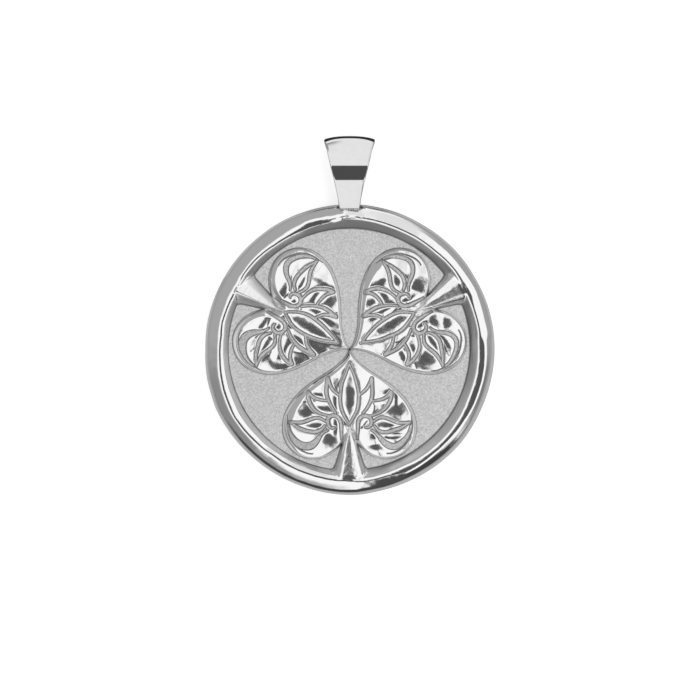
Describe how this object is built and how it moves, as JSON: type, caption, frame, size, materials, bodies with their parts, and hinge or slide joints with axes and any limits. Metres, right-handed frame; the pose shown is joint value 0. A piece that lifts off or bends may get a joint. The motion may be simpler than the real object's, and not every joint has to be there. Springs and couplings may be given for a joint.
{
  "type": "coin pendant",
  "caption": "Round cast coin pendant with a rounded rim, three domed heart leaves on stems carrying sunk palmettes, and a soldered tapered bail.",
  "frame": {"origin": "centre of the coin on its flat back face", "axes": "+Z out of the decorated face, +Y towards the bail, +X to the right when looking at the face with the bail on top"},
  "size_m": [0.028, 0.0345, 0.0034],
  "materials": {
    "silver": "polished cast silver with a fine matte field"
  },
  "bodies": {
    "root": {"coin_pendant": "silver"}
  },
  "joints": []
}
